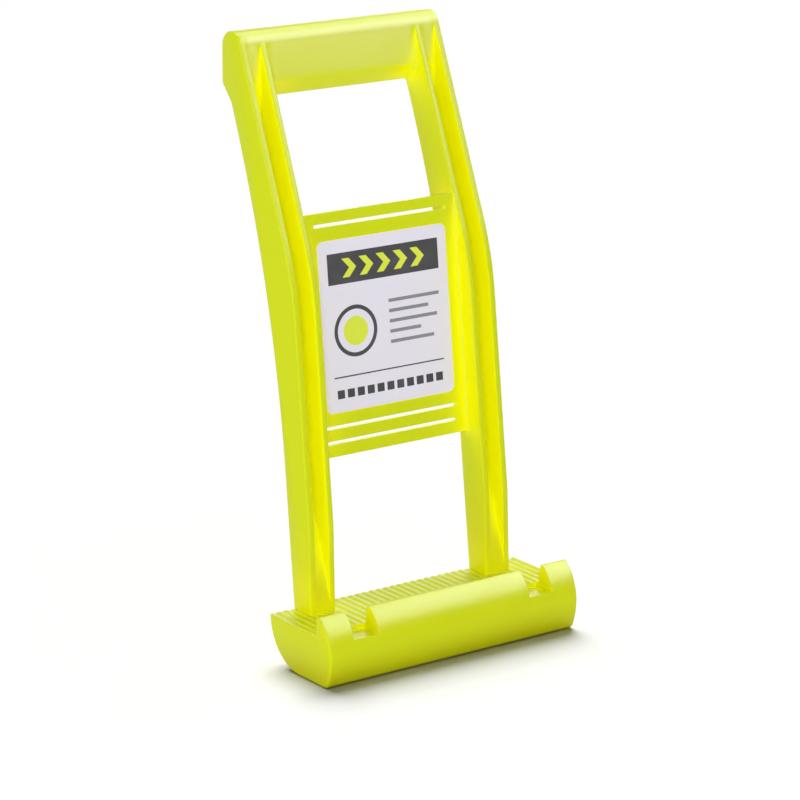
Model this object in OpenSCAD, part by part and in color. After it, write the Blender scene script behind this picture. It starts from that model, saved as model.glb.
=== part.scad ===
/* [Base trough] */
// length of the trough, end to end
trough_length = 177.6; // [140:0.2:220]
// height of the ribbed shelf above the floor
shelf_height = 29; // [24:0.5:34]
// distance from the shelf's rear edge to the foot of the lip
shelf_depth = 45.8; // [42:0.1:50]
// distance from the shelf's rear edge to the middle of the front round
front_round_setback = 33.8; // [31:0.1:36]
// height of the middle of the front round
front_round_height = 18.2; // [16:0.1:20]
// radius of the front round above its middle
front_round_radius = 27.2; // [26:0.1:29]
// radius of the front round below its middle
front_low_radius = 42; // [36:0.5:60]
// radius of the corner between the front round and the underside
toe_radius = 4.4; // [2:0.2:8]
// height of the lip's top edge
lip_height = 40.5; // [38:0.1:42]
// forward lean of the lip's inner face, in degrees
lip_lean = 10; // [4:0.5:12]
// distance between the two notches in the lip
notch_gap = 107.8; // [96:0.1:112]
// width of each notch
notch_width = 17.2; // [12:0.1:20]
// height of a notch's floor at its front edge
notch_front_height = 27; // [26:0.1:28.5]
// height of a notch's floor at its rear
notch_rear_height = 25.6; // [24.5:0.1:28]
// how far a notch runs behind the lip's foot
notch_run = 2; // [1:0.5:8]
// spacing of the shelf's ribs
rib_pitch = 5; // [4:0.5:8]
// width of the groove between two ribs
groove_width = 3.4; // [1:0.1:3.8]
// depth of the grooves
groove_depth = 0.6; // [0.3:0.1:1]
// thickness of the walls between the hollows in the underside
hollow_wall = 4; // [3:0.5:8]
// width of each hollow in the underside
hollow_width = 16; // [10:1:18]
// depth of each hollow in the underside
hollow_depth = 20; // [8:1:22]
// radius of the hollows' corners
hollow_corner = 3; // [1:0.5:6]

/* [Rails] */
// width over the two rails at floor level
foot_width = 144; // [136:0.2:152]
// width over the two rails at the top
top_width = 140.2; // [132:0.2:148]
// gap between the rails at floor level
foot_gap = 109; // [104:0.2:112]
// gap between the rails at the top
top_gap = 104; // [98:0.2:108]
// thickness of the two flanges of a rail
flange = 3.8; // [3:0.1:5]
// thickness of a rail's rear wall
rear_wall = 4; // [3:0.1:6]
// depth of a rail where it stands on the shelf
foot_depth = 17; // [14:0.2:20]
// backward lean of a rail's front edge at the foot, in degrees
foot_lean = 1.9; // [0:0.1:4]
// height at which the front edge starts to lean more
foot_top = 79; // [70:1:90]
// backward lean of a rail's lower front edge, in degrees
front_lean = 6.3; // [5:0.1:8]
// height at which the front edge starts to bend
knee_start = 196; // [185:1:205]
// radius of the bend in the front edge
knee_radius = 165; // [140:1:190]
// backward lean of a rail's upper front edge, in degrees
upper_lean = 22; // [20:0.5:24]
// backward lean of a rail's lower rear edge, in degrees
rear_lean = 6.2; // [5:0.1:7]
// height at which the rear edge starts to curve
rear_curve_start = 106; // [95:1:120]
// radius of the curve in the rear edge
rear_curve_radius = 760; // [720:5:800]
// height at which the rail's channel runs out at the front edge
channel_foot = 33; // [31:0.5:40]
// height at which the channel reaches its full depth
channel_full = 95; // [80:1:105]

/* [Grip bar] */
// height of the grip's top
grip_top = 355.5; // [345:0.5:375]
// depth of the grip, front to back
grip_depth = 18.4; // [17:0.2:20]
// how far the tips of the rails sink into the grip's round
tip_sink = 0.1; // [0.05:0.05:0.5]
// drop from the grip's top to its lower front edge
front_drop = 29.5; // [27:0.1:32]
// drop from the grip's top to its lower rear edge
rear_drop = 30.7; // [28:0.1:33]
// drop from the grip's top to its lowest edge
low_drop = 40.7; // [38:0.1:43]
// radius of the grip's lower front and rear edges
grip_edge = 3.5; // [1:0.5:5]
// radius of the grip's lowest edge
keel_edge = 2; // [0.5:0.5:4]

/* [Label plate] */
// backward lean of the plate, in degrees
plate_lean = 6; // [5:0.1:6.5]
// height of the plate's middle line
plate_middle = 189; // [180:1:195]
// distance from the shelf's rear edge back to the plate's front at its middle line
plate_setback = 8.4; // [7:0.1:11]
// length of the plate above its middle line
plate_above = 66.2; // [60:0.2:67]
// length of the plate below its middle line
plate_below = 75; // [65:0.2:80]
// thickness of the plate
plate_thickness = 3; // [2:0.1:4]
// length of the narrow slots
slot_length = 93; // [80:0.5:98]
// height of the narrow slots
slot_height = 2; // [1:0.1:3]
// upper slot's place above the middle line
upper_slot = 58.9; // [56:0.1:61]
// first lower slot's place below the middle line
first_lower_slot = 58.1; // [56:0.1:60]
// second lower slot's place below the middle line
second_lower_slot = 66.8; // [64:0.1:70]

/* [Label] */
// width of the label
label_width = 90.4; // [70:0.2:96]
// height of the label
label_height = 99.6; // [80:0.2:102]
// radius of the label's corners
label_corner = 4; // [1:0.5:8]
// thickness of the label
label_thickness = 0.3; // [0.2:0.05:0.5]

/* [Hidden] */
$fn = 96;
arc_steps = 28;
corner_steps = 6;
plastic = [0.84, 0.87, 0.12];
paper = [0.87, 0.86, 0.91];

toe_offset = front_low_radius - toe_radius;
toe_run = sqrt(pow(toe_offset, 2) - pow(front_round_height - toe_radius, 2))
    + front_round_radius - front_low_radius;
shelf_rear = (shelf_height + front_round_setback + toe_run) / 2;
rear_round_y = shelf_rear - shelf_height;
front_round_y = shelf_rear - front_round_setback;
lip_y = shelf_rear - shelf_depth;
toe = [front_round_y - toe_run, toe_radius];
low_round = [front_round_y - front_round_radius + front_low_radius, front_round_height];
toe_way = (toe - low_round) / toe_offset;
groove_radius = (pow(groove_width / 2, 2) + pow(groove_depth, 2)) / (2 * groove_depth);
notch_in = notch_gap / 2;
hollow_pitch = (trough_length - 2 * hollow_wall) / 6;
hollow_length = hollow_pitch - hollow_wall;
hollow_y = (toe[0] + rear_round_y) / 2;
// how far a cut runs past the face it opens
past = rib_pitch / 5;
// how far two outlines of one piece run into each other
seam = shelf_height / 6;
reach = 2 * grip_top;

// a point that is one step along a line leaning back by some degrees, up to a height
function up_to(p, lean, z) = [p[0] + (z - p[1]) * tan(lean), z];
// the middle of an arc that starts at a point and bends backward
function bend_middle(p, lean, r) = [p[0] + r * cos(lean), p[1] - r * sin(lean)];
// points along an arc around its middle, from one lean to another
function bend(c, r, a, b) = [for (i = [0:arc_steps])
    let (t = a + (b - a) * i / arc_steps) [c[0] - r * cos(t), c[1] + r * sin(t)]];
// points that round a corner, coming from one point and going to another
function rounding(from, at, to, r) =
    let (come = (from - at) / norm(from - at), go = (to - at) / norm(to - at),
         half = acos(come * go) / 2, middle = at + (come + go) / norm(come + go) * r / sin(half),
         first = at + come * r / tan(half) - middle, side = sign(cross(go, come)))
    [for (i = [0:corner_steps])
        let (t = side * (180 - 2 * half) * i / corner_steps)
        middle + [first[0] * cos(t) - first[1] * sin(t), first[0] * sin(t) + first[1] * cos(t)]];

foot_front = [shelf_rear - foot_depth, shelf_height];
foot_bend = up_to(foot_front, foot_lean, foot_top);
knee = up_to(foot_bend, front_lean, knee_start);
knee_middle = bend_middle(knee, front_lean, knee_radius);
knee_points = bend(knee_middle, knee_radius, front_lean, upper_lean);

grip_radius = grip_depth / 2;
grip_z = grip_top - grip_radius;
tip_reach = grip_radius - tip_sink;
grip_y = up_to(knee_points[arc_steps], upper_lean, grip_z)[0] + tip_reach / cos(upper_lean);
grip_front = grip_y - grip_radius;
grip_rear = grip_y + grip_radius;
front_tip = [grip_y - tip_reach * cos(upper_lean), grip_z + tip_reach * sin(upper_lean)];

rear_foot = [shelf_rear, shelf_height];
rear_bend = up_to(rear_foot, rear_lean, rear_curve_start);
rear_middle = bend_middle(rear_bend, rear_lean, rear_curve_radius);
rear_end = asin((grip_top - low_drop - rear_middle[1]) / rear_curve_radius);
rear_points = bend(rear_middle, rear_curve_radius, rear_lean, rear_end);
grip_keel = rear_points[arc_steps];
front_low = [grip_front, grip_top - front_drop];
rear_low = [grip_rear, grip_top - rear_drop];

floor_radius = rear_curve_radius + rear_wall;
floor_end = acos((rear_middle[0] - grip_front) / floor_radius);
floor_points = bend(rear_middle, floor_radius, rear_lean, floor_end);
floor_foot = up_to(floor_points[0], rear_lean, channel_full);
channel_lip = up_to(foot_front, foot_lean, channel_foot);
ramp = (floor_foot - channel_lip) / (channel_full - channel_foot);

// a side outline drawn in depth and height, carried along the width
module along(from, to) {
    translate([from, 0, 0]) rotate([90, 0, 90]) linear_extrude(height = to - from) children();
}

// a deep block with leaning sides, as wide as given at the floor and at the grip's top
module taper(foot, top) {
    translate([0, reach, 0]) rotate([90, 0, 0]) linear_extrude(height = 2 * reach)
        polygon([[-foot / 2, 0], [foot / 2, 0], [top - foot / 2, reach], [foot / 2 - top, reach]]);
}

// an outline drawn on the plate's front, given a thickness in front of and behind it
module on_plate(behind, ahead) {
    translate([0, shelf_rear + plate_setback, plate_middle]) rotate([90 - plate_lean, 0, 0])
        translate([0, 0, -behind]) linear_extrude(height = behind + ahead) children();
}

module rounded(w, h, r) {
    square([w - 2 * r, h], center = true);
    square([w, h - 2 * r], center = true);
    for (x = [-1, 1], y = [-1, 1]) translate([x * (w / 2 - r), y * (h / 2 - r)]) circle(r = r);
}

module slot(w, h) {
    square([w - h, h], center = true);
    for (x = [-1, 1]) translate([x * (w - h) / 2, 0]) circle(r = h / 2);
}

module grip_side() {
    translate([grip_y, grip_z]) circle(r = grip_radius);
    polygon(concat([[grip_front, grip_z]], rounding([grip_front, grip_z], front_low, grip_keel, grip_edge),
                   rounding(front_low, grip_keel, rear_low, keel_edge),
                   rounding(grip_keel, rear_low, [grip_rear, grip_z], grip_edge), [[grip_rear, grip_z]]));
}

module rail_side() {
    polygon(concat([foot_front, foot_bend], knee_points, [front_tip, [grip_y, grip_z]],
                   [for (i = [arc_steps:-1:0]) rear_points[i]], [rear_foot]));
}

module channel_side() {
    polygon(concat([channel_lip - foot_depth * ramp, floor_foot], floor_points,
                   [[grip_front, grip_top], [-reach, grip_top], [-reach, channel_lip[1] - foot_depth]]));
}

module rail() {
    difference() {
        intersection() {
            along(0, reach) rail_side();
            taper(foot_width, top_width);
        }
        taper(foot_gap, top_gap);
        difference() {
            intersection() {
                along(0, reach) channel_side();
                taper(foot_width - 2 * flange, top_width - 2 * flange);
            }
            taper(foot_gap + 2 * flange, top_gap + 2 * flange);
        }
        along(-reach, reach) grip_side();
    }
}

// a band of the trough's front, bounded by a round
module front_band(middle, r, low, high) {
    intersection() {
        translate(middle) circle(r = r);
        translate([front_round_y - 2 * front_round_radius, low])
            square([2 * front_round_radius, high - low]);
    }
}

module trough_side() {
    intersection() {
        translate([rear_round_y, shelf_height]) circle(r = shelf_height);
        translate([front_round_y - seam, 0]) square([shelf_rear - front_round_y + seam, shelf_height]);
    }
    translate([front_round_y - seam, 0]) square([rear_round_y - front_round_y + seam, shelf_height]);
    difference() {
        union() {
            front_band([front_round_y, front_round_height], front_round_radius,
                       front_round_height - seam, lip_height);
            front_band(low_round, front_low_radius, 0, front_round_height);
        }
        polygon([[lip_y, shelf_height], [front_round_y + past, shelf_height],
                 [front_round_y + past, reach], [lip_y - (reach - shelf_height) * tan(lip_lean), reach]]);
        difference() {
            polygon([toe, toe + 2 * toe_radius * toe_way, toe + 2 * toe_radius * [toe_way[0], -1],
                     toe - [0, 2 * toe_radius]]);
            translate(toe) circle(r = toe_radius);
        }
    }
}

module notch_side() {
    polygon([[lip_y + notch_run, notch_rear_height], [lip_y + notch_run, lip_height + past],
             [-reach, lip_height + past], [front_round_y - front_round_radius - past, notch_front_height]]);
}

module grooves() {
    count = floor((trough_length / 2 - groove_width) / rib_pitch);
    for (i = [-count:count]) let (x = i * rib_pitch,
        beside = abs(x) > foot_gap / 2 - groove_width && abs(x) < foot_width / 2 + groove_width,
        end = beside ? foot_front[0] - past : shelf_rear + past)
        translate([x, lip_y, shelf_height - groove_depth + groove_radius]) rotate([-90, 0, 0])
            cylinder(r = groove_radius, h = end - lip_y);
}

module grip_bar() {
    color(plastic) intersection() {
        along(-reach, reach) grip_side();
        taper(foot_width, top_width);
    }
}

module right_rail() {
    color(plastic) rail();
}

module left_rail() {
    color(plastic) mirror([1, 0, 0]) rail();
}

module label_plate() {
    color(plastic) intersection() {
        on_plate(plate_thickness, 0) difference() {
            translate([-reach, -plate_below]) square([2 * reach, plate_below + plate_above]);
            for (s = [upper_slot, -first_lower_slot, -second_lower_slot])
                translate([0, s]) slot(slot_length, slot_height);
        }
        taper(foot_gap, top_gap);
    }
}

module base_trough() {
    color(plastic) difference() {
        along(-trough_length / 2, trough_length / 2) trough_side();
        for (x = [-notch_in - notch_width, notch_in]) along(x, x + notch_width) notch_side();
        grooves();
        for (i = [-5:2:5]) translate([i * hollow_pitch / 2, hollow_y, -past])
            linear_extrude(height = hollow_depth + past)
                rounded(hollow_length, hollow_width, hollow_corner);
    }
}

module label() {
    color(paper) on_plate(0, label_thickness) rounded(label_width, label_height, label_corner);
}

grip_bar();
left_rail();
right_rail();
label_plate();
base_trough();
label();
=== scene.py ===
from math import acos, asin, atan2, cos, degrees, radians, sin, sqrt, tan

import bmesh
import bpy
from mathutils import Matrix, Vector


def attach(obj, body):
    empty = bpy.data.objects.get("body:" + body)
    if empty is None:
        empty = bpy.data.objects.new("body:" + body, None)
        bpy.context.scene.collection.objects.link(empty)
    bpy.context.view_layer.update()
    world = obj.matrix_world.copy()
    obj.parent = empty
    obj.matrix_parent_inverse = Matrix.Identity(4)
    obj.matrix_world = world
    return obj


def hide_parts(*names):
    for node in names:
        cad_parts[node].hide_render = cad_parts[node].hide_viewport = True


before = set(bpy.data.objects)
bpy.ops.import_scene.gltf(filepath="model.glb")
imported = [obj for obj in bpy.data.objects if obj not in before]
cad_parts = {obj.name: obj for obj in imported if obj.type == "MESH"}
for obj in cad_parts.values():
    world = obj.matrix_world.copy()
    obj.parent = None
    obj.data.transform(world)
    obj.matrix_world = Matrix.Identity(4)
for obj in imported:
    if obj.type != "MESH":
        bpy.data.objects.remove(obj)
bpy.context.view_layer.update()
mm = 0.001
print("frame loaded")

# sizes are in mm: width to the right, depth back from the lip's side, height up from the floor
near, slack, room = 0.01, 0.1, 0.5  # allowances when points are compared
mostly = 0.5  # a face whose normal has more than this of a direction faces that way
common = {
    "seal": 1e-4, "weld": 2e-3,
    "softEdge": 0.35, "softSegments": 2, "softAngle": 40, "sharpAngle": 38,
}


# outlines and bodies

def leanTo(point, lean, height):
    # where a leaning line through a point comes to a height
    return (point[0] + (height - point[1]) * tan(radians(lean)), height)


def only(parts, kind):
    return [part for part in parts if isinstance(part, kind)]


def bothWays(stops):
    # stops on the right half, and the same on the left
    return [-stop for stop in reversed(stops)] + stops


class SideLine:
    # an outline in the depth and height plane, drawn point by point and then filled

    def __init__(self, bm, start):
        self.bm = bm
        self.first = self.last = bm.verts.new((0, start[0] * mm, start[1] * mm))

    def line(self, *points):
        for depth, height in points:
            self.last = bmesh.ops.extrude_vert_indiv(self.bm, verts=[self.last])["verts"][0]
            self.last.co = (0, depth * mm, height * mm)

    def arc(self, middle, turn, steps):
        spun = bmesh.ops.spin(self.bm, geom=[self.last], cent=(0, middle[0] * mm, middle[1] * mm),
                              axis=(1, 0, 0), angle=radians(turn), steps=steps)
        self.last = only(spun["geom_last"], bmesh.types.BMVert)[0]

    def corner(self, at, radius, towards, steps=6):
        # a line up to a rounded corner, which leaves in the direction of the next point
        come = Vector((self.last.co.y / mm - at[0], self.last.co.z / mm - at[1])).normalized()
        go = Vector((towards[0] - at[0], towards[1] - at[1])).normalized()
        half = come.angle(go) / 2
        begin = Vector(at) + come * radius / tan(half)
        middle = Vector(at) + (come + go).normalized() * radius / sin(half)
        side = 1 if come.x * go.y - come.y * go.x < 0 else -1
        self.line(begin)
        self.arc(middle, side * (180 - degrees(2 * half)), steps)

    def fill(self):
        self.bm.edges.new((self.last, self.first))
        bare = [edge for edge in self.bm.edges if not edge.link_faces]
        return bmesh.ops.contextual_create(self.bm, geom=bare)["faces"][0]


def carry(bm, face, stops):
    # the outline's face carried along the width, with a ring at every stop
    bmesh.ops.translate(bm, verts=face.verts[:], vec=(stops[0] * mm, 0, 0))
    for i, (before, after) in enumerate(zip(stops, stops[1:])):
        grown = bmesh.ops.extrude_face_region(bm, geom=[face])["geom"]
        moved = only(grown, bmesh.types.BMVert)
        bmesh.ops.translate(bm, verts=moved, vec=((after - before) * mm, 0, 0))
        if i:
            bmesh.ops.delete(bm, geom=[face], context="FACES_ONLY")
        face = only(grown, bmesh.types.BMFace)[0]


def weld(bm, distance=common["weld"]):
    bmesh.ops.remove_doubles(bm, verts=bm.verts[:], dist=distance * mm)


def sealUp(bm):
    weld(bm, common["seal"])
    bmesh.ops.recalc_face_normals(bm, faces=bm.faces[:])
    bm.normal_update()


def middleOf(edge):
    return (edge.verts[0].co + edge.verts[1].co) / 2 / mm


def edgesAlong(bm, axis):
    # edges that run at least a millimetre along x, y or z
    i = "xyz".index(axis)
    return [edge for edge in bm.edges if abs(edge.verts[0].co[i] - edge.verts[1].co[i]) > mm]


def rimEdges(bm, width, wanted):
    # edges of the flat side at a width whose other face has a wanted direction
    bm.normal_update()
    found = []
    for edge in bm.edges:
        if all(abs(vert.co.x - width * mm) < near * mm for vert in edge.verts):
            beside = [face for face in edge.link_faces if abs(face.normal.x) < mostly]
            if beside and wanted(beside[0].normal, edge):
                found.append(edge)
    return found


def roundOff(bm, edges, radius, segments=3):
    bmesh.ops.bevel(bm, geom=edges, offset=radius * mm, offset_type="OFFSET", affect="EDGES",
                    segments=segments, profile=0.5, material=-1, clamp_overlap=True)


def asObject(name, bm):
    mesh = bpy.data.meshes.new(name)
    bm.to_mesh(mesh)
    bm.free()
    thing = bpy.data.objects.new(name, mesh)
    bpy.context.scene.collection.objects.link(thing)
    return thing


def applied(*things):
    # the first object's mesh with its modifiers, as a new body
    shown = things[0].evaluated_get(bpy.context.evaluated_depsgraph_get())
    mesh = bpy.data.meshes.new_from_object(shown)
    result = bmesh.new()
    result.from_mesh(mesh)
    for thing in things:
        old = thing.data
        bpy.data.objects.remove(thing)
        bpy.data.meshes.remove(old)
    bpy.data.meshes.remove(mesh)
    return result


def roundUnevenly(bm, radii, segments=4):
    # rounds edges that each have a radius of their own
    bm.edges.index_update()
    wanted = {edge.index: radius for edge, radius in radii.items()}
    largest = max(wanted.values())
    weights = bm.edges.layers.float.new("bevel_weight_edge")
    for edge in bm.edges:
        edge[weights] = wanted.get(edge.index, 0) / largest
    thing = asObject("rounded", bm)
    bevel = thing.modifiers.new("round", "BEVEL")
    bevel.width = largest * mm
    bevel.segments = segments
    bevel.limit_method = "WEIGHT"
    bevel.use_clamp_overlap = True
    result = applied(thing)
    result.edges.layers.float.remove(result.edges.layers.float["bevel_weight_edge"])
    return result


def merged(base, tool, operation):
    # one body made of two by an exact boolean
    first, second = asObject("bodyA", base), asObject("bodyB", tool)
    cut = first.modifiers.new("cut", "BOOLEAN")
    cut.operation = operation
    cut.solver = "EXACT"
    cut.object = second
    return applied(first, second)


def finishPiece(name, bm, material, nodes, softEdge=common["softEdge"]):
    weld(bm)
    bmesh.ops.dissolve_degenerate(bm, edges=bm.edges[:], dist=common["weld"] * mm)
    bm.normal_update()
    openEdges = sum(1 for edge in bm.edges if not edge.is_manifold)
    thing = asObject(name, bm)
    thing.data.materials.append(material)
    for polygon in thing.data.polygons:
        polygon.use_smooth = True
    thing.data.set_sharp_from_angle(angle=radians(common["sharpAngle"]))
    if softEdge:
        bevel = thing.modifiers.new("soft edges", "BEVEL")
        bevel.width = softEdge * mm
        bevel.segments = common["softSegments"]
        bevel.limit_method = "ANGLE"
        bevel.angle_limit = radians(common["softAngle"])
        bevel.use_clamp_overlap = True
    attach(thing, "root")
    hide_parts(*nodes)
    print(name, len(thing.data.polygons), "faces,", openEdges, "open edges")
    return thing


# rails

rails = {
    "footOuter": 72, "topOuter": 70.1, "footInner": 54.5, "topInner": 52, "flange": 3.8, "wall": 4,
    "footFront": (24.5, 29), "footLean": 1.9, "footTop": 79, "frontLean": 6.3,
    "kneeStart": 196, "kneeRadius": 165, "upperLean": 22,
    "rearFoot": (41.5, 29), "rearLean": 6.2, "curveStart": 106, "curveRadius": 760, "arcSteps": 24,
    "channelFoot": 33, "channelFull": 95, "scoopSteps": 14, "scoopEase": 0.6,
    "sunk": 1.6, "rearTuck": 0.4, "intoGrip": 2, "hairline": 0.02,
    "outerRound": 0.9, "channelRound": 0.8, "flatUnder": 0.95,
    # the channel's hollow corners, which get smaller where the channel is shallow
    "fillet": 2.6, "filletLeast": 0.1, "filletShare": 0.75, "filletTurn": 0.6, "filletMargin": 1,
    "filletStart": 5, "filletStop": 4,
}
grip = {
    "top": 355.5, "depth": 18.4, "tipSink": 0.1, "frontDrop": 29.5, "rearDrop": 30.7, "lowDrop": 40.7,
    "edgeRound": 3.5, "keelRound": 2, "arcSteps": 20, "frontStart": 5, "frontSteps": 8, "intoRail": 0.2,
    "frontFillet": 5.5, "keelFillet": 1.2, "filletRings": 10, "filletShare": 0.85, "filletMargin": 0.6,
}

# lines that the rails, the grip and the plate share
footBend = leanTo(rails["footFront"], rails["footLean"], rails["footTop"])
knee = leanTo(footBend, rails["frontLean"], rails["kneeStart"])
kneeMiddle = (knee[0] + rails["kneeRadius"] * cos(radians(rails["frontLean"])),
              knee[1] - rails["kneeRadius"] * sin(radians(rails["frontLean"])))
kneeEnd = (kneeMiddle[0] - rails["kneeRadius"] * cos(radians(rails["upperLean"])),
           kneeMiddle[1] + rails["kneeRadius"] * sin(radians(rails["upperLean"])))
rearBend = leanTo(rails["rearFoot"], rails["rearLean"], rails["curveStart"])
rearMiddle = (rearBend[0] + rails["curveRadius"] * cos(radians(rails["rearLean"])),
              rearBend[1] - rails["curveRadius"] * sin(radians(rails["rearLean"])))


def rearAt(height):
    return rearMiddle[0] - sqrt(rails["curveRadius"] ** 2 - (height - rearMiddle[1]) ** 2)


def frontAt(height):
    if height > kneeEnd[1]:
        return leanTo(kneeEnd, rails["upperLean"], height)[0]
    if height > knee[1]:
        return kneeMiddle[0] - sqrt(rails["kneeRadius"] ** 2 - (height - kneeMiddle[1]) ** 2)
    lean = rails["frontLean"] if height > footBend[1] else rails["footLean"]
    return leanTo(footBend, lean, height)[0]


def innerAt(height):
    # half of the gap between the rails
    return rails["footInner"] + (rails["topInner"] - rails["footInner"]) * height / grip["top"]


def outerAt(height):
    # half of the width over the rails
    return rails["footOuter"] + (rails["topOuter"] - rails["footOuter"]) * height / grip["top"]


# the rails' front edges run up into the grip's round almost as a tangent
gripRadius, upperLean = grip["depth"] / 2, radians(rails["upperLean"])
gripHeight, tipReach = grip["top"] - gripRadius, gripRadius - grip["tipSink"]
gripMiddle = (leanTo(kneeEnd, rails["upperLean"], gripHeight)[0] + tipReach / cos(upperLean), gripHeight)
gripFront, gripRear = gripMiddle[0] - gripRadius, gripMiddle[0] + gripRadius
tip = (gripMiddle[0] - tipReach * cos(upperLean), gripHeight + tipReach * sin(upperLean))
tipTurn = upperLean - acos(tipReach / gripRadius)
tipOnRound = (gripMiddle[0] - gripRadius * cos(tipTurn), gripHeight + gripRadius * sin(tipTurn))
insideGrip = (gripMiddle[0], gripHeight - rails["intoGrip"])
keelHeight = grip["top"] - grip["lowDrop"]
keel = (rearAt(keelHeight), keelHeight)
rearTurn = degrees(asin((keel[1] - rearMiddle[1]) / rails["curveRadius"])) - rails["rearLean"]
frontLow = (gripFront, grip["top"] - grip["frontDrop"])
rearLow = (gripRear, grip["top"] - grip["rearDrop"])


def frontEdge(pen):
    # up the front edge of a rail to the end of its knee
    pen.line(rails["footFront"], footBend, knee)
    pen.arc(kneeMiddle, rails["frontLean"] - rails["upperLean"], rails["arcSteps"])


def rearEdge(pen):
    # down the rear edge of a rail from the grip's keel, and into the trough
    depth, height = rails["rearFoot"]
    pen.arc(rearMiddle, rearTurn, rails["arcSteps"])
    pen.line((depth, height), (depth - rails["rearTuck"], height - rails["sunk"]))


def sunkFoot(bm):
    foot = leanTo(rails["footFront"], rails["footLean"], rails["footFront"][1] - rails["sunk"])
    return SideLine(bm, foot)


def leanSideways(bm, halfWidthAt):
    # follows the taper of the frame
    for vert in bm.verts:
        vert.co.x += halfWidthAt(vert.co.z / mm) * mm


def outerFlange():
    # the outside wall, which also closes the end of the grip
    bm = bmesh.new()
    pen = sunkFoot(bm)
    frontEdge(pen)
    pen.line(tipOnRound)
    pen.arc(gripMiddle, degrees(tipTurn) - 180, grip["arcSteps"])
    pen.corner(rearLow, grip["edgeRound"], keel)
    pen.line(keel)
    rearEdge(pen)
    carry(bm, pen.fill(), (-rails["flange"], 0))
    sealUp(bm)

    def notBelow(normal, edge):
        # all but the flat underside of the sunk foot
        return normal.z > -rails["flatUnder"]

    def onFront(normal, edge):
        return normal.y < -mostly and max(vert.co.z for vert in edge.verts) < (tipOnRound[1] + slack) * mm

    roundOff(bm, rimEdges(bm, 0, notBelow), rails["outerRound"])
    roundOff(bm, rimEdges(bm, -rails["flange"], onFront), rails["channelRound"])
    leanSideways(bm, outerAt)
    return bm


def innerFlange():
    bm = bmesh.new()
    pen = sunkFoot(bm)
    frontEdge(pen)
    pen.line(tip, insideGrip, keel)
    rearEdge(pen)
    carry(bm, pen.fill(), (0, rails["flange"]))
    sealUp(bm)

    def frontOrRear(normal, edge):
        return abs(normal.y) > mostly and edge.verts[0].co.z < tip[1] * mm

    def onFront(normal, edge):
        return normal.y < -mostly

    roundOff(bm, rimEdges(bm, 0, frontOrRear), rails["outerRound"])
    roundOff(bm, rimEdges(bm, rails["flange"], onFront), rails["channelRound"])
    leanSideways(bm, innerAt)
    return bm


def channelFloor():
    # the rear wall between the two flanges, with the scoop at its foot
    bm = bmesh.new()
    pen = sunkFoot(bm)
    floorRadius, floorFront = rails["curveRadius"] + rails["wall"], gripFront + rails["hairline"]
    floorTop = rearMiddle[1] + sqrt(floorRadius ** 2 - (rearMiddle[0] - floorFront) ** 2)
    bendAt = (rearMiddle[0] - floorRadius * cos(radians(rails["rearLean"])),
              rearMiddle[1] + floorRadius * sin(radians(rails["rearLean"])))
    full = leanTo(bendAt, rails["rearLean"], rails["channelFull"])
    scoop = leanTo(rails["footFront"], rails["footLean"], rails["channelFoot"])
    pen.line(rails["footFront"], scoop)
    # the scoop eases out of the foot's front and into the channel
    for i in range(1, rails["scoopSteps"] + 1):
        share = i / rails["scoopSteps"]
        along = Vector(scoop).lerp(Vector(full), share)
        front = leanTo(scoop, rails["footLean"], along.y)[0]
        pull = rails["scoopEase"] * (1 - share) ** 2
        pen.line((along.x + (front - along.x) * pull, along.y))
    pen.line(bendAt)
    floorTurn = degrees(asin((floorTop - rearMiddle[1]) / floorRadius)) - rails["rearLean"]
    pen.arc(rearMiddle, -floorTurn, rails["arcSteps"])
    pen.line((floorFront, insideGrip[1]), insideGrip, keel)
    rearEdge(pen)
    into = rails["flange"] / 2
    carry(bm, pen.fill(), (innerAt(grip["top"] / 2) + into, outerAt(grip["top"] / 2) - into))
    sealUp(bm)
    return bm


def channelCorners(bm):
    # the hollow corners where the channel's floor meets the two flanges, each with its radius
    bm.normal_update()
    margin, found = rails["filletMargin"], {}
    lowest, highest = rails["footFront"][1] + rails["filletStart"], gripHeight - rails["filletStop"]
    for edge in bm.edges:
        middle = middleOf(edge)
        between = innerAt(middle.z) + margin < middle.x < outerAt(middle.z) - margin
        visible = middle.y < rearAt(middle.z) - margin and lowest < middle.z < highest
        if between and visible and edge.is_manifold and edge.calc_face_angle_signed() < -rails["filletTurn"]:
            radius = (middle.y - frontAt(middle.z)) * rails["filletShare"]
            found[edge] = max(rails["filletLeast"], min(rails["fillet"], radius))
    return found


def railBody(side):
    bm = merged(merged(outerFlange(), channelFloor(), "UNION"), innerFlange(), "UNION")
    weld(bm)
    corners = channelCorners(bm)
    print("channel corners", len(corners))
    bm = roundUnevenly(bm, corners)
    if side < 0:
        bmesh.ops.scale(bm, vec=(-1, 1, 1), verts=bm.verts[:])
        bmesh.ops.reverse_faces(bm, faces=bm.faces[:])
    return bm


# grip bar

def gripFilletAt(depth, height):
    # radius of the fillet between the grip and a rail's inner wall
    if height > gripHeight - slack or depth > keel[0] + room:
        return 0
    if depth < gripFront + slack:
        ahead = gripFront - frontAt(height) - grip["filletMargin"]
        return min(grip["frontFillet"], max(0, ahead * grip["filletShare"]))
    share = min(1, max(0, (depth - gripFront) / (keel[0] - gripFront)))
    return grip["frontFillet"] + (grip["keelFillet"] - grip["frontFillet"]) * share


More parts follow.
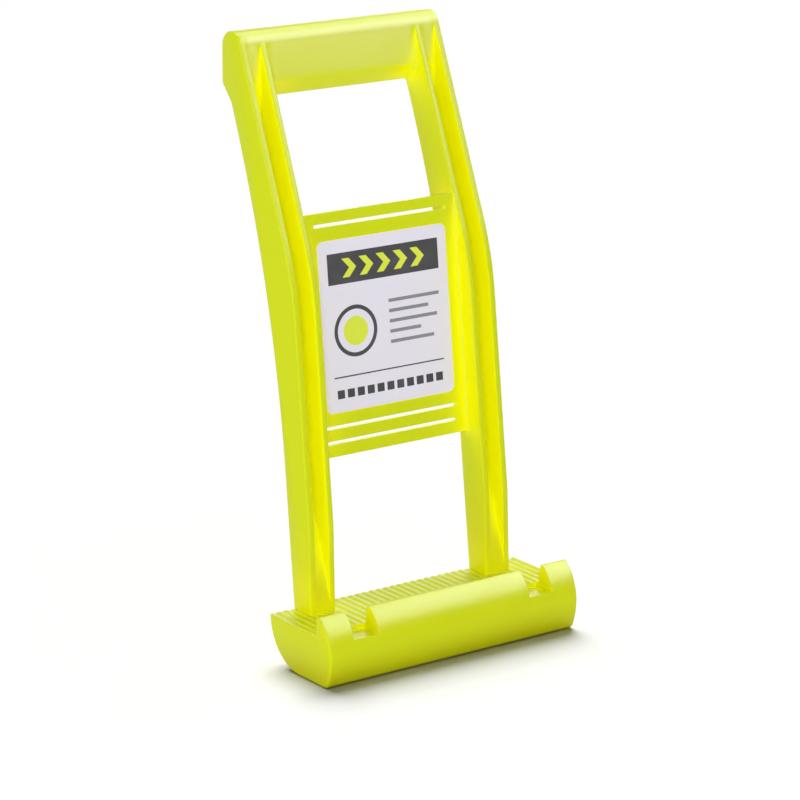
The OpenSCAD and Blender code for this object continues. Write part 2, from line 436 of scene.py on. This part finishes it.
def gripBody():
    bm = bmesh.new()
    pen = SideLine(bm, (gripFront, gripHeight))
    pen.arc(gripMiddle, -180, grip["arcSteps"])
    pen.corner(rearLow, grip["edgeRound"], keel)
    pen.corner(keel, grip["keelRound"], frontLow)
    pen.corner(frontLow, grip["edgeRound"], (gripFront, gripHeight))
    rise, steps = frontLow[1] + grip["frontStart"], grip["frontSteps"]
    pen.line(*[(gripFront, rise + (gripHeight - rise) * i / steps) for i in range(steps)])
    # rings that crowd towards the rails carry the fillets
    rings, wall = grip["filletRings"], innerAt(frontLow[1]) + grip["intoRail"]
    stops = [wall - grip["frontFillet"] * (1 - sin(radians(90 * i / rings))) for i in range(rings + 1)]
    end = outerAt(gripHeight) - rails["flange"]
    carry(bm, pen.fill(), bothWays(stops + [wall + rails["flange"] / 2, end]))
    sealUp(bm)
    shifts = {}
    for vert in bm.verts:
        side, width = (1 if vert.co.x > 0 else -1), abs(vert.co.x) / mm
        depth, height = vert.co.y / mm, vert.co.z / mm
        radius, gap = gripFilletAt(depth, height), wall - width
        if width > end - slack:
            # the ends lean with the rails
            shifts[vert] = Vector((side * (outerAt(height) - outerAt(gripHeight)) * mm, 0, 0))
        elif -near < gap < radius:
            swell = radius - sqrt(max(radius ** 2 - (radius - gap) ** 2, 0))
            shifts[vert] = Vector((0, vert.normal.y, vert.normal.z)).normalized() * swell * mm
    for vert, shift in shifts.items():
        vert.co += shift
    return bm


# label plate

plate = {
    "lean": 6, "middle": (49.9, 189), "above": 66.2, "below": 75, "thick": 3, "intoRail": 0.25,
    "rings": (-40, 0, 30, 45, 52, 56, 59, 61, 63, 64.6),
    "slots": (58.9, -58.1, -66.8), "slotLength": 93, "slotHeight": 2, "slotRound": 0.9, "cutterDepth": 30,
    "frontFillet": 2.6, "rearFillet": 1.6, "filletSteps": 5, "filletLeast": 0.12,
}


def plateBody():
    # drawn as a section across the plate: depth as the pen's depth, width as its height
    bm = bmesh.new()
    half, thick = innerAt(plate["middle"][1]) + plate["intoRail"], plate["thick"]
    front, rear, steps = plate["frontFillet"], plate["rearFillet"], plate["filletSteps"]
    pen = SideLine(bm, (-front, -half))
    pen.arc((-front, -half + front), 90, steps)
    pen.line((0, half - front))
    pen.arc((-front, half - front), 90, steps)
    pen.line((thick + rear, half))
    pen.arc((thick + rear, half - rear), 90, steps)
    pen.line((thick, -half + rear))
    pen.arc((thick + rear, -half + rear), 90, steps)
    carry(bm, pen.fill(), (-plate["below"], *plate["rings"], plate["above"]))
    sealUp(bm)
    lean = radians(plate["lean"])
    for vert in bm.verts:
        along, depth, width = (part / mm for part in vert.co)
        height = plate["middle"][1] + along * cos(lean)
        if depth < 0:
            # the fillet fades out where the rails' front edge comes down to the plate
            ahead = plate["middle"][0] + along * sin(lean) - frontAt(height) - room
            depth *= max(plate["filletLeast"], min(1, ahead / front))
        width *= (innerAt(height) + plate["intoRail"]) / half
        vert.co = (along * mm, depth * mm, width * mm)
    for place in plate["slots"]:
        tool = bmesh.new()
        bmesh.ops.create_cube(tool, size=mm)
        size = (plate["slotHeight"], plate["cutterDepth"], plate["slotLength"])
        bmesh.ops.scale(tool, vec=size, verts=tool.verts[:])
        roundOff(tool, edgesAlong(tool, "y"), plate["slotRound"], 4)
        bmesh.ops.translate(tool, vec=(place * mm, 0, 0), verts=tool.verts[:])
        bm = merged(bm, tool, "DIFFERENCE")
    onPlate = Matrix(((0, 0, -1, 0), (sin(lean), cos(lean), 0, plate["middle"][0] * mm),
                      (cos(lean), -sin(lean), 0, plate["middle"][1] * mm), (0, 0, 0, 1)))
    bmesh.ops.transform(bm, matrix=onPlate, verts=bm.verts[:])
    sealUp(bm)
    return bm


# base trough

trough = {
    "length": 177.6, "shelf": 29, "rear": 41.5, "rearSteps": 20,
    "lipFoot": -4.3, "lipTop": 40.5, "lipLean": 10, "lipFootRound": 0.6, "lipRound": 0.6,
    "frontMiddle": (7.7, 18.2), "frontRadius": 27.2, "frontSteps": 10,
    "lowRadius": 42, "lowSteps": 14, "toeRadius": 4.4, "toeSteps": 8,
    # the ends' rounds fade out towards the lip's top
    "endRound": 1.8, "fadeStop": 3, "fadeRun": 8, "lipReach": 3, "ringClear": 3,
    "notchGap": 107.8, "notchWidth": 17.2, "notchFront": 27, "notchRear": 25.6, "notchRun": 2,
    "notchCorner": 0.8, "notchRounds": {"step": 2.3, "sill": 0.9, "wall": 0.7}, "notchTurn": 0.3,
    "cutAhead": 1, "cutAbove": 5, "cutFlare": 20,
    "ribPitch": 5, "grooveWidth": 3.4, "grooveDepth": 0.6, "grooveRise": 0.4,
    "grooveStart": 1.1, "groovePast": 1, "grooveSegments": 56,
    "hollowCount": 6, "hollowWall": 4, "hollowWidth": 16, "hollowDepth": 20, "hollowCorner": 3,
}
lowMiddle = (trough["frontMiddle"][0] - trough["frontRadius"] + trough["lowRadius"], trough["frontMiddle"][1])
toeDrop = lowMiddle[1] - trough["toeRadius"]
toeReach = sqrt((trough["lowRadius"] - trough["toeRadius"]) ** 2 - toeDrop ** 2)
toe = (lowMiddle[0] - toeReach, trough["toeRadius"])


def endRoundAt(edge):
    # full on the front, the underside and the rear, and fading out towards the thin lip
    middle = middleOf(edge)
    if middle.z > trough["shelf"] - room and middle.y > trough["lipFoot"] - trough["lipReach"]:
        return trough["lipRound"]
    share = min(1, max(0, (trough["lipTop"] - trough["fadeStop"] - middle.z) / trough["fadeRun"]))
    return trough["lipRound"] + (trough["endRound"] - trough["lipRound"]) * share


def notchEdges(bm, start, wanted):
    # edges around a notch: the shelf's step, the sill at its floor's front, or the lip's two cut walls
    bm.normal_update()
    found, stop = [], start + trough["notchWidth"]
    for edge in bm.edges:
        if not edge.is_manifold or edge.calc_face_angle_signed() < trough["notchTurn"]:
            continue
        middle = middleOf(edge)
        ends = [vert.co.x / mm for vert in edge.verts]
        low = trough["notchRear"] - slack < middle.z < trough["shelf"] + slack
        across = low and start - slack < middle.x < stop + slack and abs(ends[0] - ends[1]) > 1
        onWall = any(all(abs(end - wall) < near for end in ends) for wall in (start, stop))
        onLip = trough["shelf"] < middle.z < trough["lipTop"] - 1
        kind = "sill" if middle.y < trough["lipFoot"] else "step"
        if onWall and onLip and edge.calc_length() > room * mm:
            kind = "wall"
        elif not across:
            continue
        if kind == wanted:
            found.append(edge)
    return found


def troughBlock():
    bm = bmesh.new()
    middle, radius = trough["frontMiddle"], trough["frontRadius"]
    shelf, rear, lipTop = trough["shelf"], trough["rear"], trough["lipTop"]
    lipFront = middle[0] - sqrt(radius ** 2 - (lipTop - middle[1]) ** 2)
    lipRear = leanTo((trough["lipFoot"], shelf), -trough["lipLean"], lipTop)
    pen = SideLine(bm, (toe[0], 0))
    pen.line((rear - shelf, 0))
    pen.arc((rear - shelf, shelf), 90, trough["rearSteps"])
    pen.corner((trough["lipFoot"], shelf), trough["lipFootRound"], lipRear, 3)
    pen.line(lipRear, (lipFront, lipTop))
    startTurn = degrees(atan2(lipTop - middle[1], lipFront - middle[0]))
    toeTurn = degrees(atan2(toe[1] - lowMiddle[1], toe[0] - lowMiddle[0])) + 360
    pen.arc(middle, 180 - startTurn, trough["frontSteps"])
    pen.arc(lowMiddle, toeTurn - 180, trough["lowSteps"])
    # the toe's last step is the line that closes the outline
    steps = trough["toeSteps"]
    pen.arc(toe, (270 - toeTurn) * (steps - 1) / steps, steps - 1)
    # rings beside the ends and the notches keep the long faces clear of their rounds
    half, clear, notch = trough["length"] / 2, trough["ringClear"], trough["notchGap"] / 2
    stops = [notch - clear, notch + trough["notchWidth"] + clear, half - clear, half]
    carry(bm, pen.fill(), bothWays(stops))
    sealUp(bm)
    radii = {}
    for edge in edgesAlong(bm, "x"):
        if min(vert.co.z for vert in edge.verts) > (lipTop - near) * mm:
            radii[edge] = trough["lipRound"]
    for end in (half, -half):
        for edge in rimEdges(bm, end, lambda normal, edge: True):
            radii[edge] = endRoundAt(edge)
    return roundUnevenly(bm, radii)


def notchTool(start):
    bm = bmesh.new()
    front = trough["frontMiddle"][0] - trough["frontRadius"] - trough["cutAhead"]
    rear, above = trough["lipFoot"] + trough["notchRun"], trough["lipTop"] + trough["cutAbove"]
    pen = SideLine(bm, (front, trough["notchFront"]))
    pen.corner((rear, trough["notchRear"]), trough["notchCorner"], (rear, above), 4)
    pen.line((rear, above), (front - trough["cutFlare"], above))
    carry(bm, pen.fill(), (start, start + trough["notchWidth"]))
    sealUp(bm)
    return bm


def grooveComb():
    bm = bmesh.new()
    width, deep = trough["grooveWidth"], trough["grooveDepth"]
    radius = ((width / 2) ** 2 + deep ** 2) / (2 * deep)
    start, end = trough["lipFoot"] + trough["grooveStart"], trough["rear"] + trough["groovePast"]
    count = int((trough["length"] / 2 - width) // trough["ribPitch"])
    for i in range(-count, count + 1):
        place = i * trough["ribPitch"]
        middle = (place * mm, (start + end) / 2 * mm, (trough["shelf"] - deep + radius) * mm)
        turn = Matrix.Translation(middle) @ Matrix.Rotation(radians(trough["grooveRise"]), 4, "X")
        bmesh.ops.create_cone(bm, cap_ends=True, segments=trough["grooveSegments"],
                              radius1=radius * mm, radius2=radius * mm, depth=(end - start) * mm,
                              matrix=turn @ Matrix.Rotation(radians(90), 4, "X"))
    return bm


def hollowCores():
    bm = bmesh.new()
    pitch = (trough["length"] - 2 * trough["hollowWall"]) / trough["hollowCount"]
    size = (pitch - trough["hollowWall"], trough["hollowWidth"], trough["hollowDepth"])
    middle = (toe[0] + trough["rear"] - trough["shelf"]) / 2
    for i in range(trough["hollowCount"]):
        place = (i - (trough["hollowCount"] - 1) / 2) * pitch
        cell = bmesh.ops.create_cube(bm, size=mm)["verts"]
        bmesh.ops.scale(bm, vec=size, verts=cell)
        bmesh.ops.translate(bm, vec=(place * mm, middle * mm, (size[2] / 2 - near) * mm), verts=cell)
    roundOff(bm, edgesAlong(bm, "z"), trough["hollowCorner"], 4)
    return bm


def troughBody():
    bm = troughBlock()
    for start in (trough["notchGap"] / 2, -trough["notchGap"] / 2 - trough["notchWidth"]):
        bm = merged(bm, notchTool(start), "DIFFERENCE")
        weld(bm)
        # kind by kind, because one tight edge would hold back every radius
        for kind, radius in trough["notchRounds"].items():
            roundOff(bm, notchEdges(bm, start, kind), radius, 4)
    bm = merged(bm, grooveComb(), "DIFFERENCE")
    return merged(bm, hollowCores(), "DIFFERENCE")


# label

label = {
    "width": 90.4, "height": 99.6, "corner": 4, "cornerSteps": 8, "thick": 0.3,
    # the print from the label's middle: left, right, low and high, or the place and the radius
    "panel": (-39, 39, 24, 42), "line": (-39, 39, -30, -29.2),
    "rules": ((2, 38, 9, 11), (2, 30, 3, 5), (2, 36, -3, -1), (2, 24, -9, -7), (2, 33, -15, -13)),
    "ring": (-22, -4, 15), "ringInside": (-22, -4, 12.6), "core": (-22, -4, 8.5),
    "arrows": {"up": 33, "half": 5.5, "slant": 0.9, "middle": 0.5, "reach": 30, "pitch": 12, "wide": 5},
    "squares": {"band": (-37.5, 37.5, -42, -37), "pitch": 7, "wide": 5},
}


def labelBody():
    bm = bmesh.new()
    bmesh.ops.create_grid(bm, x_segments=1, y_segments=1, size=0.5 * mm)
    bmesh.ops.scale(bm, vec=(label["width"], label["height"], 1), verts=bm.verts[:])
    bmesh.ops.bevel(bm, geom=bm.verts[:], offset=label["corner"] * mm, offset_type="OFFSET",
                    affect="VERTICES", segments=label["cornerSteps"], profile=0.5, material=-1)
    grown = bmesh.ops.extrude_face_region(bm, geom=bm.faces[:])["geom"]
    top = only(grown, bmesh.types.BMVert)
    bmesh.ops.translate(bm, vec=(0, 0, label["thick"] * mm), verts=top)
    place = Matrix.Translation((0, plate["middle"][0] * mm, plate["middle"][1] * mm))
    turn = Matrix.Rotation(radians(90 - plate["lean"]), 4, "X")
    bmesh.ops.transform(bm, matrix=place @ turn, verts=bm.verts[:])
    sealUp(bm)
    return bm


# materials

class Wire:
    # a socket of a material's tree, with maths

    def __init__(self, tree, socket=None):
        self.tree, self.socket = tree, socket

    def node(self, kind, settings=None, out=0, **inputs):
        made = self.tree.nodes.new(kind)
        for name, value in (settings or {}).items():
            setattr(made, name, value)
        for name, value in inputs.items():
            numbered = name.startswith("in") and name[2:].isdigit()
            socket = made.inputs[int(name[2:]) if numbered else name.replace("_", " ")]
            if isinstance(value, Wire):
                self.tree.links.new(value.socket, socket)
            else:
                socket.default_value = value
        return Wire(self.tree, made.outputs[out])

    def math(self, operation, *others):
        return self.node("ShaderNodeMath", {"operation": operation},
                         **{f"in{i}": part for i, part in enumerate((self, *others))})

    def __add__(self, other):
        return self.math("ADD", other)

    def __sub__(self, other):
        return self.math("SUBTRACT", other)

    def __rsub__(self, other):
        return (self * -1).math("ADD", other)

    def __mul__(self, other):
        return self.math("MULTIPLY", other)

    def __abs__(self):
        return self.math("ABSOLUTE")

    def __lt__(self, other):
        return self.math("LESS_THAN", other)

    def __gt__(self, other):
        return self.math("GREATER_THAN", other)

    def __or__(self, other):
        return self.math("MAXIMUM", other)

    def __and__(self, other):
        return self.math("MINIMUM", other)

    __radd__ = __add__
    __rmul__ = __mul__
    __ror__ = __or__
    __rand__ = __and__

    def ramp(self, start, gain):
        # from 0 at the start up to 1, and the other way with a gain below 0
        return ((self - start) * gain | 0) & 1

    def mix(self, low, high):
        # between two colours by this value
        return self.node("ShaderNodeMix", {"data_type": "RGBA"}, out=2, in0=self, in6=low, in7=high)

    def parts(self):
        # across, depth and height of a place
        split = self.node("ShaderNodeSeparateXYZ", in0=self).socket.node
        return [Wire(self.tree, output) for output in split.outputs]

    def noise(self, **settings):
        return self.node("ShaderNodeTexNoise", in0=self, **settings)


def newMaterial(name):
    material = bpy.data.materials.new(name)
    material.use_nodes = True
    return material, material.node_tree.nodes["Principled BSDF"]


def placeOn(material):
    return Wire(material.node_tree).node("ShaderNodeTexCoord", out="Object")


def feed(shader, **links):
    for name, wire in links.items():
        wire.tree.links.new(wire.socket, shader.inputs[name.replace("_", " ")])


def mouldedPlastic():
    look = {
        # after the plastic's own colour come painted bounce light, a painted glow, a pale colour for scuffs
        # and painted highlights, and painted shade near the floor
        "open": (0.58, 0.66, 0.003, 1), "hollowBounce": (0.76, 0.72, 0.001, 1), "deep": (0.96, 0.95, 0.001, 1),
        "paleSheenAndScuff": (0.68, 0.72, 0.13, 1), "lowShade": (0.50, 0.50, 0.004, 1),
        "roughness": 0.31, "cloudRoughness": 0.16, "grainRoughness": 0.12, "specular": 0.12, "ior": 1.49,
        "cloud": {"Scale": 28, "Detail": 3, "Roughness": 0.55},
        "grain": {"Scale": 1900, "Detail": 2, "Roughness": 0.6},
        "peel": {"Scale": 420, "Detail": 2, "Roughness": 0.5},
        "bump": {"Strength": 0.25, "Distance": 0.0004},
        # how far the plastic looks for walls that face it, in m
        "around": 0.1, "within": 0.03, "edge": 0.0014, "rays": 8,
        "warmGain": 2.2, "mottle": 0.3, "deepGain": 1.3, "hollowGlowLeast": 0.4, "scuffGain": 0.7,
        "gripSheenLeast": 0.45, "gripSheenCloud": 0.4, "gripSheenHigherShare": 0.35,
        # where a tint starts, in m or as a share, and how fast it comes
        "rise": (0.02, 45), "paleEdgeRamp": (0.1875, 1.6), "lowShadeFade": (0.02, -70),
        "gripSheenFrom": (0.3245, 220), "gripSheenHigher": (0.33, 60), "gripSheenBack": ((gripFront + 5) * mm, -220),
        "gripSheenSides": (0.0655, -400), "tipsAt": 0.054, "offTips": (0.0025, 250), "overTips": (0.347, 400),
    }
    material, shader = newMaterial("moulded plastic")
    place = placeOn(material)
    across, depth, height = place.parts()
    cloud, grain, peel = (place.noise(**look[name]) for name in ("cloud", "grain", "peel"))

    def closedOff(distance, **settings):
        settings["samples"] = look["rays"]
        return 1 - place.node("ShaderNodeAmbientOcclusion", settings, out=1, Distance=distance)

    # painted bounce light: the plastic is lighter and yellower where its walls face each other, less so next
    # to the floor, and a random mottle runs through it
    rise = height.ramp(*look["rise"])
    bounceAndMottle = closedOff(look["around"]) * rise * look["warmGain"] + (cloud - 0.5) * look["mottle"]
    colour = bounceAndMottle.mix(look["open"], look["hollowBounce"])
    # painted glow: a brighter yellow still in tight hollows such as the channels
    paintedGlow = closedOff(look["within"]) * (rise * look["deepGain"] + look["hollowGlowLeast"])
    colour = paintedGlow.mix(colour, look["deep"])
    # edges are a little paler, partly as scuffs and partly as a painted edge highlight
    paleEdges = closedOff(look["edge"], inside=True, only_local=True).ramp(*look["paleEdgeRamp"]) * cloud
    colour = (paleEdges * look["scuffGain"]).mix(colour, look["paleSheenAndScuff"])
    # painted shade: the plastic darkens towards the floor
    colour = (height.ramp(*look["lowShadeFade"]) * (cloud * 0.5 + 0.5)).mix(colour, look["lowShade"])
    # painted sheen: the grip's front is paler between the rails' tips and above them, more so higher up
    sideways = abs(across)
    offTips = abs(sideways - look["tipsAt"]).ramp(*look["offTips"]) | height.ramp(*look["overTips"])
    paleSheenAndScuff = height.ramp(*look["gripSheenFrom"]) * depth.ramp(*look["gripSheenBack"])
    paleSheenAndScuff = paleSheenAndScuff * offTips * sideways.ramp(*look["gripSheenSides"])
    gripSheenStrength = cloud * look["gripSheenCloud"] + height.ramp(*look["gripSheenHigher"]) * look["gripSheenHigherShare"]
    colour = (paleSheenAndScuff * (gripSheenStrength + look["gripSheenLeast"])).mix(colour, look["paleSheenAndScuff"])
    bump = place.node("ShaderNodeBump", Height=grain * 0.5 + peel * 0.5, **look["bump"])
    roughness = (cloud - 0.5) * look["cloudRoughness"] + (grain - 0.5) * look["grainRoughness"]
    feed(shader, Base_Color=colour, Normal=bump, Roughness=roughness + look["roughness"])
    shader.inputs["IOR"].default_value = look["ior"]
    shader.inputs["Specular IOR Level"].default_value = look["specular"]
    return material


def printedFilm():
    look = {
        "film": (0.73, 0.70, 0.79, 1), "ink": (0.02, 0.02, 0.024, 1), "bright": (0.64, 0.73, 0.02, 1),
        "grey": (0.20, 0.20, 0.235, 1), "rubbed": (0.5, 0.48, 0.55, 1),
        "rubbing": 0.12, "roughness": 0.33, "cloudRoughness": 0.2,
        "cloud": {"Scale": 60, "Detail": 3}, "fibre": {"Scale": 1400, "Detail": 2},
        "bump": {"Strength": 0.12, "Distance": 0.0002},
    }
    material, shader = newMaterial("printed film")
    place = placeOn(material)
    # across and up the label, in mm from its middle
    across, depth, height = (part * (1 / mm) for part in place.parts())
    lean, middle = radians(plate["lean"]), plate["middle"]
    up = (depth - middle[0]) * sin(lean) + (height - middle[1]) * cos(lean)

    def block(left, right, low, high):
        wide = abs(across - (left + right) / 2) < (right - left) / 2
        return wide & (abs(up - (low + high) / 2) < (high - low) / 2)

    def disc(x, y, radius):
        dx, dy = across - x, up - y
        return (dx * dx + dy * dy) < radius * radius

    def inStep(value, start, row):
        # the first part of every pitch, from some whole pitches before the start
        return (value + (10 * row["pitch"] - start)).math("MODULO", row["pitch"]) < row["wide"]

    # five arrow heads in a row on the dark panel
    arrows = label["arrows"]
    fromLine = abs(up - arrows["up"])
    run = across + fromLine * arrows["slant"]
    heads = (abs(run - arrows["middle"]) < arrows["reach"]) & (fromLine < arrows["half"])
    heads = heads & inStep(run, 0, arrows)
    row = label["squares"]
    squares = inStep(across, row["band"][0], row) & block(*row["band"])
    ring = disc(*label["ring"]) & (1 - disc(*label["ringInside"]))
    ink = block(*label["panel"]) | ring | block(*label["line"]) | squares
    colour = ink.mix(look["film"], look["ink"])
    for rule in label["rules"]:
        colour = block(*rule).mix(colour, look["grey"])
    colour = (heads | disc(*label["core"])).mix(colour, look["bright"])
    cloud, fibre = place.noise(**look["cloud"]), place.noise(**look["fibre"])
    colour = ((cloud - 0.5) * look["rubbing"]).mix(colour, look["rubbed"])
    bump = place.node("ShaderNodeBump", Height=fibre, **look["bump"])
    roughness = (cloud - 0.5) * look["cloudRoughness"] + look["roughness"]
    feed(shader, Base_Color=colour, Normal=bump, Roughness=roughness)
    return material


plastic, film = mouldedPlastic(), printedFilm()
print("materials made")

pieces = [
    finishPiece("rightRail", railBody(1), plastic, ["right_rail"]),
    finishPiece("leftRail", railBody(-1), plastic, ["left_rail"]),
    finishPiece("gripBar", gripBody(), plastic, ["grip_bar"], softEdge=0),
    finishPiece("labelPlate", plateBody(), plastic, ["label_plate"]),
    finishPiece("baseTrough", troughBody(), plastic, ["base_trough"]),
    finishPiece("label", labelBody(), film, ["label"], softEdge=0),
]


# floor, light and camera, in m

studio = {
    "floorSize": 12, "floorColour": (0.8, 0.8, 0.8, 1), "floorRoughness": 0.9,
    "world": 0.1, "aim": (0, 0.05, 0.2),
    # the lamp with a spread lights the floor, and the others only the pieces
    "lamps": {
        "floor": {"at": (0.6, 1.15, 1.85), "aim": (0, 0, 0), "spread": 54, "power": 4.41},
        "over": {"at": (0.6, 1.4, 4.2), "size": (2.8, 2.8), "power": 92},
        "fill": {"at": (-1.2, -1.6, 0.9), "size": (1.0, 1.0), "power": 22},
        "front": {"at": (0.1, -2.3, 0.8), "size": (1.2, 1.2), "power": 7},
        "side": {"at": (-2.1, -0.2, 0.8), "size": (1.2, 1.2), "power": 13.3},
        "right": {"at": (2.1, 0.1, 0.8), "size": (1.2, 1.2), "power": 9},
        "back": {"at": (-0.2, 2.3, 0.8), "size": (1.2, 1.2), "power": 9},
        # these show only as reflections
        "sheen": {"at": (1.2, -0.95, 1.6), "size": (1.8, 1.2), "power": 165, "sheenOnly": True},
        "topSheen": {"at": (1.35, 0.25, 1.8), "size": (1.6, 2.0), "power": 100, "sheenOnly": True},
        "rearSheen": {"at": (1.3, 1.8, 0.8), "size": (1.6, 1.0), "power": 10, "sheenOnly": True},
    },
    "eye": (-1.0890, -1.4677, 0.6605), "look": (0.5649, 0.7803, -0.2685), "lens": 150.13, "sensor": 36,
}


def layFloor():
    bm = bmesh.new()
    bmesh.ops.create_grid(bm, x_segments=1, y_segments=1, size=studio["floorSize"] / 2)
    floor = asObject("floor", bm)
    material, shader = newMaterial("pale floor")
    shader.inputs["Base Color"].default_value = studio["floorColour"]
    shader.inputs["Roughness"].default_value = studio["floorRoughness"]
    shader.inputs["Specular IOR Level"].default_value = 0
    floor.data.materials.append(material)
    return floor


def gather(name, things):
    group = bpy.data.collections.new(name)
    for thing in things:
        group.objects.link(thing)
    return group


def hangLamps(floor):
    litPieces, litFloor = gather("lit pieces", pieces), gather("lit floor", [floor])
    # the photo's floor shows the trough's shadow alone
    standing = gather("standing on the floor", [bpy.data.objects["baseTrough"]])
    for name, lamp in studio["lamps"].items():
        forFloor = "spread" in lamp
        light = bpy.data.lights.new(name, "SUN" if forFloor else "AREA")
        light.energy = lamp["power"]
        thing = bpy.data.objects.new(name, light)
        thing.location = lamp["at"]
        aim = Vector(lamp.get("aim", studio["aim"])) - Vector(lamp["at"])
        thing.rotation_euler = aim.to_track_quat("-Z", "Y").to_euler()
        if forFloor:
            light.angle = radians(lamp["spread"])
            thing.light_linking.receiver_collection = litFloor
            thing.light_linking.blocker_collection = standing
        else:
            light.shape = "RECTANGLE"
            light.size, light.size_y = lamp["size"]
            thing.light_linking.receiver_collection = litPieces
        thing.visible_diffuse = not lamp.get("sheenOnly", False)
        bpy.context.scene.collection.objects.link(thing)


def setWorld():
    # white where it is seen, and a weak light
    world = bpy.data.worlds.new("studio")
    bpy.context.scene.world = world
    world.use_nodes = True
    tree = world.node_tree
    path = Wire(tree).node("ShaderNodeLightPath").socket.node.outputs
    seen = Wire(tree, path["Is Camera Ray"]) | Wire(tree, path["Is Glossy Ray"])
    seen = seen | Wire(tree, path["Is Transmission Ray"])
    level = seen * (1 - studio["world"]) + studio["world"]
    back = tree.nodes["Background"]
    back.inputs["Color"].default_value = (1, 1, 1, 1)
    tree.links.new(level.socket, back.inputs["Strength"])


def setCamera():
    camera = bpy.data.cameras.new("camera")
    camera.lens = studio["lens"]
    camera.sensor_width = studio["sensor"]
    eye = bpy.data.objects.new("camera", camera)
    eye.location = studio["eye"]
    eye.rotation_euler = Vector(studio["look"]).to_track_quat("-Z", "Y").to_euler()
    bpy.context.scene.collection.objects.link(eye)
    bpy.context.scene.camera = eye
    bpy.context.scene.view_settings.view_transform = "Standard"


hangLamps(layFloor())
setWorld()
setCamera()
print("studio set")
